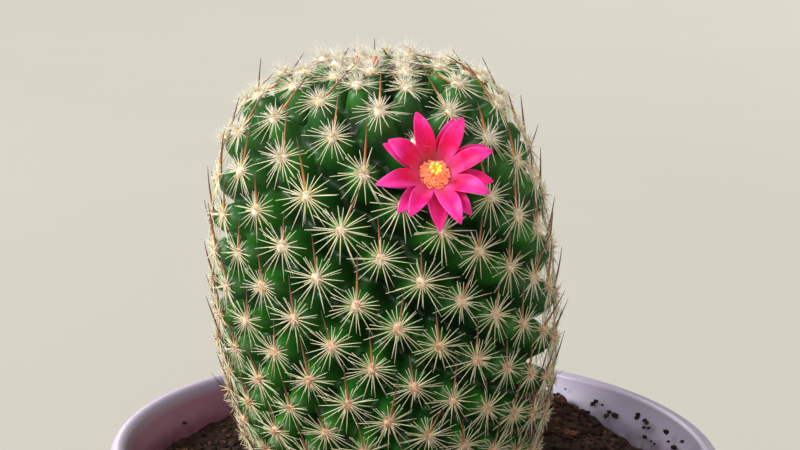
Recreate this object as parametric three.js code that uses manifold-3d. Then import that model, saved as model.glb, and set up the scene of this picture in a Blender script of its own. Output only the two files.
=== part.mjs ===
// A potted cactus in flower: a short column with a domed crown, covered in spiral rows of tubercles,
// standing in potting soil in a plain round plastic pot. Millimetres, +Z up, the pot's foot on Z = 0.
// The plant and its flower are built in the plant's own frame, whose Z is the stem's axis and whose
// origin is where that axis meets the soil, and that frame leans a little towards the front (-Y).
import * as THREE from 'three';
import { mergeVertices } from 'three/addons/utils/BufferGeometryUtils.js';
import { ConvexHull } from 'three/addons/math/ConvexHull.js';
import Module from 'manifold-3d';

const wasm = await Module();
wasm.setup();
const degrees = Math.PI / 180;

// ---- Driving dimensions ----
const gap = 0.3; // kept between neighbouring solids

// Pot
const rimRadius = 56;
const potHeight = 96;
const footRadius = 40;
const potWall = 1.6;
const rimBead = 2.8; // across the rolled lip
const collarHeight = 17;
const collarStep = 1.4;
const potFloor = 2;
const footHeight = 2.5;
const footWidth = 3.5;
const drainCount = 6;
const drainRadius = 3.5;
const drainCircle = 23;
const potSides = 48;

// Soil
const soilDrop = 8; // from the rim down to the soil
const soilRelief = 1.1;
const soilHeap = 5.5; // how much higher it is banked against the pot behind the stem
const soilHeapTurn = 56 * degrees; // where that bank is, from the right towards the back
const soilHeapWidth = 13;

// Plant: where it stands, how it leans, and the outline that its tubercle tips reach
const plantX = -2.4;
const plantY = -2.35;
const leanForward = 10.5 * degrees;
const leanLeft = 5.7 * degrees;
const stemRadius = 30;
const stemHeight = 78.5;
const outlinePower = 4; // a superellipse: 2 would be an ellipse, more is squarer
const waistHeight = 40; // below this the stem narrows towards the soil
const waistNarrowing = 0.23; // the share of the radius it has lost at the soil
const tubercleLength = 7.5;
const tubercleRise = 12 * degrees; // tips point up a little from square to the skin
const tubercleSlimness = 1.15; // most depth for the spacing, which holds near the crown
const areoleRadius = 1.3;

// The spiral that the tubercles follow, counted from the crown
const spiralTurn = -137.55 * degrees;
const spiralStart = 69.2 * degrees;
const spiralReach = 2.39; // how far along the outline the first one lies
const spiralGrowth = 0.656;

// The single dark spine in the middle of each areole
const spineLength = 9.5;
const spineRoot = 0.38;
const spineSeat = 0.6; // how deep in the areole it starts
const spineRise = 76 * degrees; // from square to the skin on the column
const crownSpineRise = 88 * degrees; // and on the crown, where they lie over it
const spineSides = 3;
const spineSwing = 10 * degrees; // to the left, seen from outside

// Buried base and roots
const buriedDepth = 6;
const buriedRadius = 15;
const rootNeckRadius = 8;
const taprootDepth = 62;
const rootCount = 7;
const rootRadius = 1.1;
const rootReach = 30;
const rootDrop = 26;

// Flower
const flowerTurn = 22 * degrees; // how far round from the front it opens
const flowerDrop = 9.9; // from the crown down to the middle of the open face
const flowerStandoff = 4.3; // of that point from the tubercle tips at its height
const flowerFacing = 7 * degrees;
const flowerTilt = 34 * degrees;
const flowerRadius = 9;
const throatDepth = 5; // from the open face down to the petals' roots
const innerPetals = 8;
const outerPetals = 9;
const petalVariety = 0.05; // how much longer or shorter than its whorl a petal may be
const petalWidth = 2.9;
const petalThickness = 0.35;
const petalSag = 0.5; // how far a petal's flat facets lie below the curve that they follow
const innerPetalShape = { reach: flowerRadius - 0.4, rise: throatDepth * 1.15, droop: 0.6, sink: 0 };
const outerPetalShape = { reach: flowerRadius, rise: throatDepth * 0.85, droop: 0.5, sink: 0.9 };
const throatRadius = 2.5;
const tubeLength = 7.1;
const tubeFoot = 1.6; // radius at the stem
const cupDepth = 2.6;
const stamenCount = 18;
const filamentLength = 3.2;
const styleLength = 4.4;
const stigmaLobes = 6;

// Loose pieces on the soil
const barkCount = 12;
const barkSize = 4.2;
const gritCount = 6;
const gritSize = 2.6;

// ---- Finishes ----
const finish = (color, roughness) => new THREE.MeshStandardMaterial({ color, roughness, metalness: 0 });
const potPlastic = finish(0xb7adc4, 0.45);
const pottingSoil = finish(0x2b1d18, 1);
const greenSkin = finish(0x2c6b2a, 0.5);
const petalPink = finish(0xe62a86, 0.45);
const petalDark = finish(0xc9186a, 0.45);
const tubeGreen = finish(0x9a5a4a, 0.6);
const anthers = finish(0xf6b26a, 0.7);
const stigmaYellow = finish(0xf0c24a, 0.6);
const bark = finish(0x5a3324, 0.95);
const grit = finish(0xc9c2cf, 0.9);

// ---- Solids ----
const vector = (x, y, z) => new THREE.Vector3(x, y, z);
const soilLevel = potHeight - soilDrop;

/** A closed geometry as a solid that can be cut and joined. */
function solidOf(geometry) {
  const bare = geometry.clone();
  bare.deleteAttribute('normal');
  bare.deleteAttribute('uv');
  const merged = mergeVertices(bare, 1e-4);
  const vertProperties = new Float32Array(merged.attributes.position.array);
  const triVerts = new Uint32Array(merged.index.array);
  return new wasm.Manifold(new wasm.Mesh({ numProp: 3, vertProperties, triVerts }));
}

/** A solid as a geometry again, with flat faces. */
function geometryOf(solid) {
  const mesh = solid.getMesh();
  const geometry = new THREE.BufferGeometry();
  geometry.setAttribute('position', new THREE.BufferAttribute(mesh.vertProperties, 3));
  geometry.setIndex(new THREE.BufferAttribute(mesh.triVerts, 1));
  const flat = geometry.toNonIndexed();
  flat.computeVertexNormals();
  return flat;
}

/** A shape turned about Z from an outline of [radius, height] points that starts and ends on the axis. */
function turned(outline, sides) {
  const lathe = new THREE.LatheGeometry(outline.map(([r, z]) => new THREE.Vector2(r, z)), sides);
  return lathe.rotateX(90 * degrees);
}

/** A cone or rod from one point to another. */
function rod(from, to, fromRadius, toRadius, sides) {
  const along = to.clone().sub(from);
  const geometry = new THREE.CylinderGeometry(toRadius, fromRadius, along.length(), sides);
  geometry.translate(0, along.length() / 2, 0);
  geometry.applyQuaternion(new THREE.Quaternion().setFromUnitVectors(vector(0, 1, 0), along.normalize()));
  return geometry.translate(from.x, from.y, from.z);
}

/** A tube of one thickness along a smooth curve through some points. */
function tubeAlong(points, radius, sides, steps) {
  const section = new THREE.Shape();
  for (let i = 0; i < sides; i += 1) {
    const turn = (i / sides) * 2 * Math.PI;
    const put = i === 0 ? 'moveTo' : 'lineTo';
    section[put](radius * Math.cos(turn), radius * Math.sin(turn));
  }
  const extrudePath = new THREE.CatmullRomCurve3(points);
  return new THREE.ExtrudeGeometry(section, { steps, extrudePath, bevelEnabled: false });
}

/** The same random numbers on every run. */
function randomFrom(seed) {
  let state = seed;
  return () => {
    state = (state * 16807) % 2147483647;
    return state / 2147483647;
  };
}

/** Joins many solids into one. */
const joined = (solids) => wasm.Manifold.union(solids);

/** A solid's outer skin alone, with any pocket that is sealed inside it filled. */
function filled(solid) {
  const skins = solid.decompose();
  return skins.reduce((largest, skin) => (skin.volume() > largest.volume() ? skin : largest));
}

// ---- Frames ----
const model = new THREE.Group();
const plant = new THREE.Group();
plant.position.set(plantX, plantY, soilLevel);
plant.rotation.set(leanForward, -leanLeft, 0);
plant.updateMatrixWorld();
const inPlant = (geometry) => geometry.clone().applyMatrix4(plant.matrixWorld);
const inRow = (point) => point.clone().applyMatrix4(plant.matrixWorld);

/** Adds a named sub-part to a group. */
function add(group, name, geometry, material) {
  const mesh = new THREE.Mesh(geometry, material.clone());
  mesh.name = name;
  group.add(mesh);
}

// ---- Pot ----
/** The pot's outer radius at a height below the collar. */
const potSlope = (z) => footRadius + (rimRadius - rimBead / 2 - collarStep - footRadius) * (z / potHeight);
const innerWall = (z) => potSlope(z) - potWall;

function potShell() {
  const bead = rimBead / 2;
  const beadCentre = rimRadius - bead;
  const collarBottom = potHeight - collarHeight;
  const outline = [
    [0, footHeight],
    [footRadius - footWidth, footHeight],
    [footRadius - footWidth, 0],
    [footRadius, 0],
    [potSlope(collarBottom), collarBottom],
    [potSlope(collarBottom) + collarStep, collarBottom + 0.6],
  ];
  const beadSteps = 6;
  for (let i = 0; i <= beadSteps; i += 1) {
    const turn = (i / beadSteps) * 180 * degrees;
    outline.push([beadCentre + bead * Math.cos(turn), potHeight - bead + bead * Math.sin(turn)]);
  }
  outline.push([innerWall(potHeight - 2 * rimBead), potHeight - 2 * rimBead]);
  outline.push([innerWall(footHeight + potFloor), footHeight + potFloor]);
  outline.push([0, footHeight + potFloor]);
  const drains = [];
  for (let i = 0; i < drainCount; i += 1) {
    const turn = (i / drainCount) * 2 * Math.PI;
    const x = drainCircle * Math.cos(turn);
    const y = drainCircle * Math.sin(turn);
    const above = vector(x, y, 2 * (footHeight + potFloor));
    drains.push(solidOf(rod(vector(x, y, 0), above, drainRadius, drainRadius, 12)));
  }
  return geometryOf(solidOf(turned(outline, potSides)).subtract(joined(drains)));
}
add(model, 'pot', potShell(), potPlastic);

// ---- Stem outline and spiral ----
/** How much of its full radius the stem keeps at a height: all of it above the waist. */
const narrowing = (height) => 1 - waistNarrowing * (Math.max(waistHeight - height, 0) / waistHeight) ** 2;

/** The outline of the tubercle tips: a superellipse down to the soil, carried on below it, and waisted. */
function outlineCurve(radius, height) {
  const points = [];
  const steps = 40;
  for (let i = 0; i <= steps; i += 1) {
    const turn = (i / steps) * 90 * degrees;
    const across = (Math.sin(turn) / radius) ** outlinePower;
    const up = (Math.cos(turn) / height) ** outlinePower;
    const reach = (across + up) ** (-1 / outlinePower);
    points.push(new THREE.Vector2(reach * Math.sin(turn), reach * Math.cos(turn)));
  }
  points.push(new THREE.Vector2(radius, -buriedDepth), new THREE.Vector2(radius, -2 * buriedDepth));
  for (const point of points) point.x *= narrowing(point.y);
  const curve = new THREE.SplineCurve(points);
  curve.arcLengthDivisions = 800;
  return curve;
}
const tipOutline = outlineCurve(stemRadius, stemHeight);

/** The radius of the domed outline at a height. */
const domeRadius = (height) => (
  stemRadius * (1 - (height / stemHeight) ** outlinePower) ** (1 / outlinePower)
);
const flower = new THREE.Group();
const flowerUp = stemHeight - flowerDrop;
const flowerOut = domeRadius(flowerUp) + flowerStandoff;
flower.position.set(flowerOut * Math.sin(flowerTurn), -flowerOut * Math.cos(flowerTurn), flowerUp);
flower.rotation.order = 'ZXY';
flower.rotation.set(90 * degrees - flowerTilt, 0, flowerFacing);
flower.updateMatrix();

/** Distance along the tip outline, from the crown, of one tubercle of the spiral. */
const spiralDistance = (number) => spiralReach * (number - 0.5) ** spiralGrowth;

/** One tubercle: where its tip is, which way it and its skin face, and how far its neighbours are. */
function tubercle(number) {
  const distance = spiralDistance(number);
  const share = distance / tipOutline.getLength();
  const point = tipOutline.getPointAt(share);
  const slope = tipOutline.getTangentAt(share);
  const turn = spiralStart + spiralTurn * number;
  const outwards = vector(Math.sin(turn), -Math.cos(turn), 0);
  const place = (across, up) => outwards.clone().multiplyScalar(across).setZ(up);
  const uphill = place(-slope.x, -slope.y);
  const square = place(-slope.y, slope.x);
  const facing = square.clone().multiplyScalar(Math.cos(tubercleRise));
  facing.addScaledVector(uphill, Math.sin(tubercleRise));
  const spacing = Math.sqrt(2 * Math.PI * point.x * (spiralDistance(number + 1) - distance));
  const depth = Math.min(tubercleLength, spacing * tubercleSlimness);
  return { tip: place(point.x, point.y), distance, turn, facing, square, uphill, outwards, depth };
}

/** How many tubercles there are, down to the buried base. */
function tubercleCount() {
  const heightOf = (number) => tipOutline.getPointAt(spiralDistance(number) / tipOutline.getLength()).y;
  let number = 1;
  while (heightOf(number + 1) > -buriedDepth) number += 1;
  return number;
}
const tubercles = Array.from({ length: tubercleCount() }, (_, i) => tubercle(i + 1));

// ---- Soil ----
/** How high the soil lies at a place: gently uneven, and banked up against the pot behind the stem. */
function soilTop(x, y) {
  const ripple = Math.sin(x / 7 + 1) * Math.cos(y / 6) + 0.6 * Math.sin((x + y) / 4);
  const edge = innerWall(soilLevel);
  const fromBank = Math.hypot(x - edge * Math.cos(soilHeapTurn), y - edge * Math.sin(soilHeapTurn));
  return soilLevel + soilRelief * 0.6 * ripple + soilHeap * Math.exp(-((fromBank / soilHeapWidth) ** 2));
}

function soilBlock() {
  const rings = 7;
  const floor = footHeight + potFloor + gap;
  const wall = (z) => innerWall(z) - gap;
  const outline = [[0, floor], [wall(floor), floor], [wall(soilLevel), soilLevel]];
  for (let i = rings - 1; i >= 0; i -= 1) outline.push([(wall(soilLevel) * i) / rings, soilLevel]);
  const block = turned(outline, 36);
  const position = block.attributes.position;
  for (let i = 0; i < position.count; i += 1) {
    const [x, y, z] = [position.getX(i), position.getY(i), position.getZ(i)];
    if (z > soilLevel - 1e-3) position.setZ(i, soilTop(x, y));
  }
  return solidOf(block);
}

// ---- Roots ----
/** Each main root as the points its middle passes through, starting inside the taproot. */
function rootPath(index) {
  const random = randomFrom(101 + 17 * index);
  const turn = (index / rootCount) * 2 * Math.PI + 0.5 * random();
  const start = -buriedDepth - 12 - 3 * (index % 3);
  const side = vector(Math.sin(turn), -Math.cos(turn), 0);
  const across = side.clone().cross(vector(0, 0, 1));
  const bend = 5 * (random() - 0.5);
  const at = (out, sway, z) => side.clone().multiplyScalar(out).addScaledVector(across, sway).setZ(z);
  return [
    at(0, 0, start),
    at(rootReach * 0.45, bend, start - rootDrop * 0.2),
    at(rootReach * 0.8, -bend, start - rootDrop * 0.55),
    at(rootReach, 0, start - rootDrop),
  ];
}

/** The buried base, the taproot and the main roots, or, with a margin, the hole they need. */
function rootSolids(margin) {
  const base = [
    [0, 0],
    [buriedRadius + margin, 0],
    [buriedRadius + margin, -buriedDepth - 4],
    [rootNeckRadius + margin, -buriedDepth - 12],
    [rootNeckRadius * 0.5 + margin, -buriedDepth - 30],
    [1 + margin, -taprootDepth - margin],
    [0, -taprootDepth - margin],
  ];
  const solids = [solidOf(turned(base.reverse(), 16))];
  for (let i = 0; i < rootCount; i += 1) {
    const path = rootPath(i);
    solids.push(solidOf(tubeAlong(path, rootRadius + margin, 5, 7)));
    if (margin === 0) continue;
    const [before, end] = path.slice(-2);
    const beyond = end.clone().sub(before).setLength(2 * margin).add(end);
    solids.push(solidOf(rod(end, beyond, rootRadius + margin, rootRadius + margin, 8)));
  }
  return joined(solids);
}

// ---- Flower envelope, kept clear of tubercles and spines ----
/** How far a petal has risen from its root at a share of its length. */
const petalLift = (share, rise, droop) => rise * Math.sin(share * 100 * degrees) - droop * share ** 3;

function flowerRoom(margin) {
  const { reach, rise, droop, sink } = outerPetalShape;
  const widest = reach * (1 + petalVariety) + margin;
  const foot = -throatDepth - tubeLength - margin;
  const outline = [[0, foot], [tubeFoot + margin, foot], [throatRadius + margin, -throatDepth - 1 - margin]];
  for (let i = 1; i <= 3; i += 1) {
    const share = i / 3;
    const under = petalLift(share, rise, droop) - throatDepth - sink - petalSag - margin;
    outline.push([throatRadius + margin + share * (widest - throatRadius - margin), under]);
  }
  outline.push([widest, flowerRadius], [0, flowerRadius]);
  return turned(outline, 16).applyMatrix4(flower.matrix);
}

/** True if any part of a straight spine comes near the open flower. */
function meetsFlower(from, to) {
  const inverse = flower.matrix.clone().invert();
  const widest = outerPetalShape.reach * (1 + petalVariety) + 1;
  const steps = 24;
  for (let i = 0; i <= steps; i += 1) {
    const point = from.clone().lerp(to, i / steps).applyMatrix4(inverse);
    if (point.z > -throatDepth - 1 && Math.hypot(point.x, point.y) < widest) return true;
  }
  return false;
}

// ---- Cactus: tubercles, spines, buried base and roots, grown as one piece ----
/** How far down a ball each distance along the outline lies when both are mapped in true proportion. */
function ballAngleAt() {
  const samples = 600;
  const points = tipOutline.getSpacedPoints(samples);
  const step = tipOutline.getLength() / samples;
  const growth = [0, 0];
  for (let i = 2; i <= samples; i += 1) {
    growth.push(growth[i - 1] + (2 * step) / (points[i].x + points[i - 1].x));
  }
  const equator = growth[Math.round(samples / 2)];
  return (distance) => {
    const at = Math.max(1, distance / step);
    const low = Math.min(Math.floor(at), samples - 1);
    const value = growth[low] + (growth[low + 1] - growth[low]) * (at - low);
    return 2 * Math.atan(Math.exp(value - equator));
  };
}

/** The tubercle tips on that ball. The faces of their hull say which three tubercles meet at each axil. */
function tipHull() {
  const ballAngle = ballAngleAt();
  const spots = tubercles.map(({ turn, distance }) => new THREE.Vector3().setFromSphericalCoords(
    1, ballAngle(distance), turn,
  ));
  const number = new Map(spots.map((spot, i) => [spot, i]));
  const hull = new ConvexHull().setFromPoints(spots);
  return { hull, numberOf: (vertex) => number.get(vertex.point) };
}

/** The knobbly skin: each tubercle rises from the axils around it to a small flat areole. */
function skin() {
  const { hull, numberOf } = tipHull();
  const axils = new Map();
  const rings = new Map();
  for (const face of hull.faces) {
    const axil = vector(0, 0, 0);
    let edge = face.edge;
    for (let i = 0; i < 3; i += 1) {
      const { tip, facing, depth } = tubercles[numberOf(edge.head())];
      axil.addScaledVector(tip, 1 / 3).addScaledVector(facing, -depth / 3);
      rings.set(numberOf(edge.tail()), edge);
      edge = edge.next;
    }
    axils.set(face, axil);
  }
  const corners = [];
  const triangle = (...points) => points.forEach((point) => corners.push(point.x, point.y, point.z));
  for (const [number, first] of rings) {
    const { tip, facing } = tubercles[number];
    const around = [];
    let edge = first;
    do {
      const axil = axils.get(edge.face);
      const rim = axil.clone().sub(tip).projectOnPlane(facing).setLength(areoleRadius).add(tip);
      around.push({ axil, rim });
      edge = edge.prev.twin;
    } while (edge !== first);
    around.forEach(({ axil, rim }, i) => {
      const next = around[(i + 1) % around.length];
      triangle(axil, next.axil, next.rim);
      triangle(axil, next.rim, rim);
      if (i > 1) triangle(around[0].rim, around[i - 1].rim, rim);
    });
  }
  const geometry = new THREE.BufferGeometry();
  geometry.setAttribute('position', new THREE.Float32BufferAttribute(corners, 3));
  return geometry;
}

/** The dark middle spine of one tubercle, or nothing where soil or the flower is in its way. */
function middleSpine({ tip, facing, square, uphill, outwards }) {
  const sideways = outwards.clone().cross(vector(0, 0, 1));
  const rise = THREE.MathUtils.lerp(spineRise, crownSpineRise, square.z);
  const along = square.clone().multiplyScalar(Math.cos(rise));
  along.addScaledVector(uphill, Math.sin(rise)).addScaledVector(sideways, -Math.tan(spineSwing));
  const fromCrown = tip.distanceTo(vector(0, 0, stemHeight));
  const length = spineLength * Math.min(1, 0.45 + fromCrown / stemRadius);
  const from = tip.clone().addScaledVector(facing, -spineSeat);
  const to = from.clone().addScaledVector(along.normalize(), length);
  const foot = inRow(tip);
  if (foot.z < soilTop(foot.x, foot.y) + 2 * soilRelief || meetsFlower(from, to)) return [];
  return [solidOf(rod(from, to, spineRoot, 0, spineSides))];
}

function cactus() {
  const body = joined([solidOf(skin()), rootSolids(0), ...tubercles.flatMap(middleSpine)]);
  return filled(body.subtract(solidOf(flowerRoom(gap))));
}
const cactusGeometry = geometryOf(cactus());
add(plant, 'cactus', cactusGeometry, greenSkin);

/** The hole in the soil for the stem's foot and the roots. */
function plantHole() {
  const sides = 32;
  const widest = stemRadius + areoleRadius * Math.sin(tubercleRise);
  const bottom = -buriedDepth - 3;
  const top = 14;
  const outline = [[0, bottom]];
  const steps = 8;
  for (let i = 0; i <= steps; i += 1) {
    const height = bottom + ((top - bottom) * i) / steps;
    outline.push([(widest * narrowing(height) + gap) / Math.cos(Math.PI / sides), height]);
  }
  outline.push([0, top]);
  const well = solidOf(inPlant(turned(outline, sides)));
  return well.add(solidOf(inPlant(geometryOf(rootSolids(gap)))));
}
add(model, 'soil', geometryOf(soilBlock().subtract(plantHole())), pottingSoil);

// ---- Flower ----
/** One petal lying along +X from the throat, bent up from the flower's face, tip rolled back. */
function petal(width, reach, rise, droop, sink) {
  const root = throatRadius;
  const length = reach - root;
  const shape = new THREE.Shape();
  shape.moveTo(0, -width * 0.2);
  shape.bezierCurveTo(length * 0.3, -width * 0.55, length * 0.7, -width * 0.62, length, 0);
  shape.bezierCurveTo(length * 0.7, width * 0.62, length * 0.3, width * 0.55, 0, width * 0.2);
  const settings = { depth: petalThickness, bevelEnabled: false, curveSegments: 5 };
  const blade = new THREE.ExtrudeGeometry(shape, settings);
  const position = blade.attributes.position;
  for (let i = 0; i < position.count; i += 1) {
    const [x, y, z] = [position.getX(i), position.getY(i), position.getZ(i)];
    const share = x / length;
    const lift = petalLift(share, rise, droop) + 0.12 * y * y;
    position.setXYZ(i, root + x, y, z - throatDepth - sink + lift);
  }
  return blade;
}

function addPetals(kind, count, offset, width, { reach, rise, droop, sink }) {
  for (let i = 0; i < count; i += 1) {
    const wobble = 1 + petalVariety * Math.sin(i * 2.4 + offset);
    const blade = petal(width, reach * wobble, rise, droop, sink);
    blade.rotateZ(((i + offset) / count) * 2 * Math.PI);
    const name = `petal_${kind}_${String(i + 1).padStart(2, '0')}`;
    add(flower, name, blade, kind === 'inner' ? petalPink : petalDark);
  }
}
addPetals('inner', innerPetals, 0.25, petalWidth, innerPetalShape);
addPetals('outer', outerPetals, 0.6, petalWidth * 0.9, outerPetalShape);

/** The tube that carries the petals, hollowed at its top into a cup for the stamens and style. */
function flowerTube() {
  const top = -throatDepth - 1.3;
  const cup = throatRadius - 0.7;
  const outline = [
    [0, -throatDepth - tubeLength],
    [tubeFoot, -throatDepth - tubeLength],
    [throatRadius, top],
    [cup, top],
    [cup * 0.7, top - cupDepth],
    [0, top - cupDepth],
  ];
  return turned(outline, 16);
}
add(flower, 'flower_tube', flowerTube(), tubeGreen);
const cupFloor = -throatDepth - 1.3 - cupDepth;

/** A ring with thin filaments rising from it, each with an anther at its end. */
function stamens() {
  const ringRadius = 1;
  const floor = cupFloor + gap;
  const inner = 0.55;
  const top = floor + 0.5;
  const ring = [[inner, floor], [ringRadius, floor], [ringRadius, top], [inner, top], [inner, floor]];
  const solids = [solidOf(turned(ring, 12))];
  for (let i = 0; i < stamenCount; i += 1) {
    const turn = i * spiralTurn;
    const spread = 0.9 + 0.7 * ((i * 7) % stamenCount) / stamenCount;
    const root = vector(0.78 * Math.cos(turn), 0.78 * Math.sin(turn), floor + 0.2);
    const reach = filamentLength + cupDepth * 0.9;
    const tip = vector(spread * Math.cos(turn), spread * Math.sin(turn), floor + reach);
    solids.push(solidOf(rod(root, tip, 0.12, 0.26, 4)));
  }
  return geometryOf(joined(solids));
}
add(flower, 'stamens', stamens(), anthers);

/** The style in the middle, with its star of stigma lobes. */
function pistil() {
  const floor = cupFloor + gap;
  const top = vector(0, 0, floor + styleLength + cupDepth);
  const solids = [solidOf(rod(vector(0, 0, floor), top, 0.3, 0.25, 6))];
  for (let i = 0; i < stigmaLobes; i += 1) {
    const turn = (i / stigmaLobes) * 2 * Math.PI;
    const tip = top.clone().add(vector(1.1 * Math.cos(turn), 1.1 * Math.sin(turn), 0.9));
    solids.push(solidOf(rod(top.clone().setZ(top.z - 0.15), tip, 0.3, 0.18, 4)));
  }
  return geometryOf(joined(solids));
}
add(flower, 'pistil', pistil(), stigmaYellow);

plant.add(flower);
model.add(plant);

// ---- Loose pieces resting on the soil ----
/** Lays one small broken piece beside the stem, just clear of the soil under it. */
function addLoose(name, index, size, flatness, material) {
  const random = randomFrom(7 + 31 * index);
  const inner = stemRadius + 8;
  const outer = innerWall(soilLevel) - size - 1;
  const turn = index * spiralTurn;
  const out = inner + (outer - inner) * random();
  const [x, y] = [out * Math.cos(turn), out * Math.sin(turn)];
  const piece = new THREE.IcosahedronGeometry(size / 2, 0);
  piece.rotateZ(random() * Math.PI).scale(1, 0.6 + 0.3 * random(), flatness);
  piece.translate(x, y, soilTop(x, y) + (size * flatness) / 2 + gap);
  add(model, name, piece, material);
}
for (let i = 1; i <= barkCount + gritCount; i += 1) {
  if (i <= barkCount) addLoose(`bark_chip_${String(i).padStart(2, '0')}`, i, barkSize, 0.35, bark);
  else addLoose(`grit_${String(i - barkCount).padStart(2, '0')}`, i, gritSize, 0.7, grit);
}

export default model;
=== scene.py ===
# %% [markdown]
# # A potted cactus in flower
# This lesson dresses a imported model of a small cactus: a short green column covered in spiral rows of
# knobs called tubercles, each ending in a woolly cushion with a star of pale spines and one dark
# spine. It stands in dark soil in a lilac plastic pot, and one pink flower is open near the top.
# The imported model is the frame. It fixes every size and place, and nothing here moves it: each new
# piece is made in metres in the same space, and hides the plain solid that it stands for.

# %% Load the frame
import random
from math import atan2, cos, exp, hypot, pi, radians, sin, sqrt, tan, tau
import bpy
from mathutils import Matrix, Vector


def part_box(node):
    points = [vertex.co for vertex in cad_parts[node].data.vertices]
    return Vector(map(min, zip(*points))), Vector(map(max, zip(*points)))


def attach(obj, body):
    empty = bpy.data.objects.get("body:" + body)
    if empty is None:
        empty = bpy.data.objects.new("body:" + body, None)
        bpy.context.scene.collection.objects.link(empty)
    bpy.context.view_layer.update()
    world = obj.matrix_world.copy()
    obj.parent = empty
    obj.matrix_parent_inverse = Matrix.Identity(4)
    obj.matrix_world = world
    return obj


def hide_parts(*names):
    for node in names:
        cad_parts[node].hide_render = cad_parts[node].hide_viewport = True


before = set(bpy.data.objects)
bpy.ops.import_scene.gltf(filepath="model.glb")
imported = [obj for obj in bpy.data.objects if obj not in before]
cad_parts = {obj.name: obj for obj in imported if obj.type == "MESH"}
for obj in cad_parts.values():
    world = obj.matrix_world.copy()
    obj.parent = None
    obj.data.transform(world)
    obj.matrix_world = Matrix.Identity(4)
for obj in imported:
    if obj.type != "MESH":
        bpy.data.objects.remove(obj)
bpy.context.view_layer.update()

from types import SimpleNamespace

import bmesh
import bpy
import numpy as np
from mathutils import Matrix, Vector, noise

mm = 0.001
between = random.uniform
moved = Matrix.Translation


def rotated(angle, axis="Z"):
    return Matrix.Rotation(angle, 4, axis)


def around(turn, out):
    """The X and Y of a place that is out from the axis, at an angle round it."""
    return out * cos(turn), out * sin(turn)


def shown(name, data):
    """A new object in the scene."""
    made = bpy.data.objects.new(name, data)
    bpy.context.scene.collection.objects.link(made)
    return made


pot_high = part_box("pot")[1]
rim_radius = pot_high.x
rim_height = pot_high.z
print(len(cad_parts), "nodes, rim", round(rim_radius / mm), "mm, height", round(rim_height / mm), "mm")

# %% [markdown]
# ## The viewpoint
# The camera looks slightly down on the plant from in front, close to the crown, with a normal lens.
# A wide lens would bulge the middle of the stem, and a long one would flatten the pot's oval rim. The
# camera is also rolled by a degree or so, as a hand-held one is. There is no depth of field, because
# the same camera is moved round the plant later.

# %% Camera
camera_data = bpy.data.cameras.new("camera")
camera_data.sensor_width = 36
camera_data.lens = 54
camera_data.clip_start = 0.01
camera = shown("camera", camera_data)
camera_place = Vector((-0.068, -3.859, 3.077)) * rim_radius
look_down = radians(9.6)
roll = radians(1.3)
turn_up = rotated(radians(90) - look_down, "X")
camera.matrix_world = moved(camera_place) @ turn_up @ rotated(roll)
bpy.context.scene.camera = camera
bpy.context.scene.view_settings.view_transform = "Standard"
mouth = Vector((0, 0, rim_height))
print("the camera is", round((camera_place - mouth).length / mm), "mm from the pot's mouth")

# %% [markdown]
# ## Small tools for materials
# Every finish below is a node tree. These helpers place a node, fill in its sockets and link it, and
# build a colour ramp, so that each material can be read as a short list of what it is made of.

# %% Node helpers
def put(tree, kind, inputs=None, **settings):
    """Adds a shader node, sets its options, and fills or links its input sockets."""
    made = tree.nodes.new("ShaderNode" + kind)
    for name, value in settings.items():
        setattr(made, name, value)
    for name, value in (inputs or {}).items():
        socket = made.inputs[name]
        if isinstance(value, bpy.types.NodeSocket):
            tree.links.new(value, socket)
        elif socket.type == "RGBA":
            socket.default_value = (*value, 1)
        else:
            socket.default_value = value
    return made


def ramp(tree, factor, *stops):
    """A colour ramp through (position, colour) stops."""
    made = put(tree, "ValToRGB", {"Fac": factor})
    elements = made.color_ramp.elements
    while len(elements) < len(stops):
        elements.new(0.5)
    for element, (position, colour) in zip(elements, stops):
        element.position = position
        element.color = (*colour, 1)
    return made.outputs["Color"]


def blend(tree, factor, first, second):
    """Mixes two colours by a mask."""
    return put(tree, "Mix", {0: factor, 6: first, 7: second}, data_type="RGBA").outputs[2]


def sums(tree, operation, first, second=0.5, clamp=False):
    """One step of arithmetic on masks."""
    return put(tree, "Math", {0: first, 1: second}, operation=operation, use_clamp=clamp).outputs[0]


def times(tree, first, *others):
    """Masks multiplied together."""
    for other in others:
        first = sums(tree, "MULTIPLY", first, other)
    return first


def fade(tree, value, start, end):
    """A mask that is 0 where a value is at start and 1 where it is at end."""
    return put(tree, "MapRange", {"Value": value, "From Min": start, "From Max": end}).outputs["Result"]


def whereabouts(tree):
    """The X, Y and Z of the point that is being shaded."""
    return put(tree, "SeparateXYZ", {"Vector": put(tree, "TexCoord").outputs["Object"]}).outputs


def painted(tree, name):
    """A value that was stored on the mesh's own points."""
    return put(tree, "Attribute", attribute_name=name).outputs["Fac"]


def finish(name, build, **sockets):
    """A material with one Principled shader. build(tree, shader) gives the colour over the surface."""
    material = bpy.data.materials.new(name)
    material.use_nodes = True
    tree = material.node_tree
    shader = tree.nodes["Principled BSDF"]
    for socket, value in sockets.items():
        shader.inputs[socket.replace("_", " ")].default_value = value
    tree.links.new(build(tree, shader), shader.inputs["Base Color"])
    return material


def gloss(tree, shader, mask, low, high):
    """Lets a mask change how rough the surface is."""
    tree.links.new(ramp(tree, mask, (0, (low,) * 3), (1, (high,) * 3)), shader.inputs["Roughness"])


def bump(tree, shader, height, strength, distance):
    """Feeds a height to the shader as fine relief."""
    made = put(tree, "Bump", {"Height": height, "Strength": strength, "Distance": distance})
    tree.links.new(made.outputs["Normal"], shader.inputs["Normal"])


# %% [markdown]
# ## Effects that several finishes share
# Skin, soil, plastic and petals all have soft patches and fine specks at some scale. Each effect is a
# node group, made once, with the size of its detail as an input. Everything reads Object coordinates,
# because every piece sits at the origin unturned, so one unit is one metre for all of them.

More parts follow.
